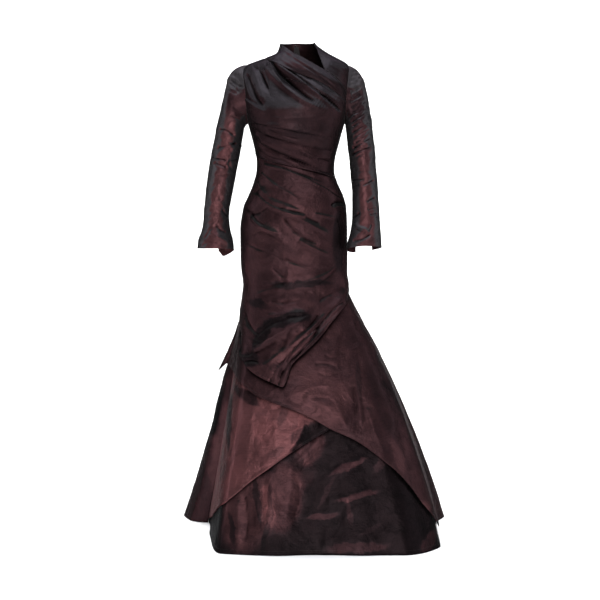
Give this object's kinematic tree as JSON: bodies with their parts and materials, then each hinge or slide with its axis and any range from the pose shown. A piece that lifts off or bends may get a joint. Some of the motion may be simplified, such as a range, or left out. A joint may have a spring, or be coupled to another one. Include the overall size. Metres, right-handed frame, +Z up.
{
  "type": "evening gown",
  "caption": "Long-sleeved floor-length evening gown in draped taffeta, filled out as worn, with a diagonal neck band and layered flared skirt.",
  "frame": {"origin": "middle of the gown at shoulder height, where the wearer's shoulders carry it", "axes": "+Z up, +X towards the wearer's left, -Y towards the front of the gown"},
  "size_m": [0.8862, 0.971, 1.576],
  "materials": {
    "taffeta": "dark burgundy and black shot taffeta, crisp, with a soft satin sheen",
    "zip_tape": "matt woven zip tape with a nylon coil",
    "zip_metal": "dark lacquered zinc"
  },
  "bodies": {
    "gown": {"bodice_front": "taffeta", "neck_band": "taffeta", "yoke_left": "taffeta", "torso_back_left": "taffeta", "torso_back_right": "taffeta", "sleeve_left": "taffeta", "sleeve_right": "taffeta", "hip_drape": "taffeta", "overskirt": "taffeta", "wrap_panel": "taffeta", "underskirt_front": "taffeta", "skirt_back": "taffeta", "zip_tape": "zip_tape", "zip_slider": "zip_metal"},
    "zip_pull": {"zip_pull": "zip_metal"}
  },
  "joints": [
    {"name": "zip_pull_swing", "type": "hinge", "parent": "gown", "child": "zip_pull", "pos_m": [0, 0.06831, 0.05118], "axis": [1, 0, 0], "range_deg": [0, 150]}
  ]
}
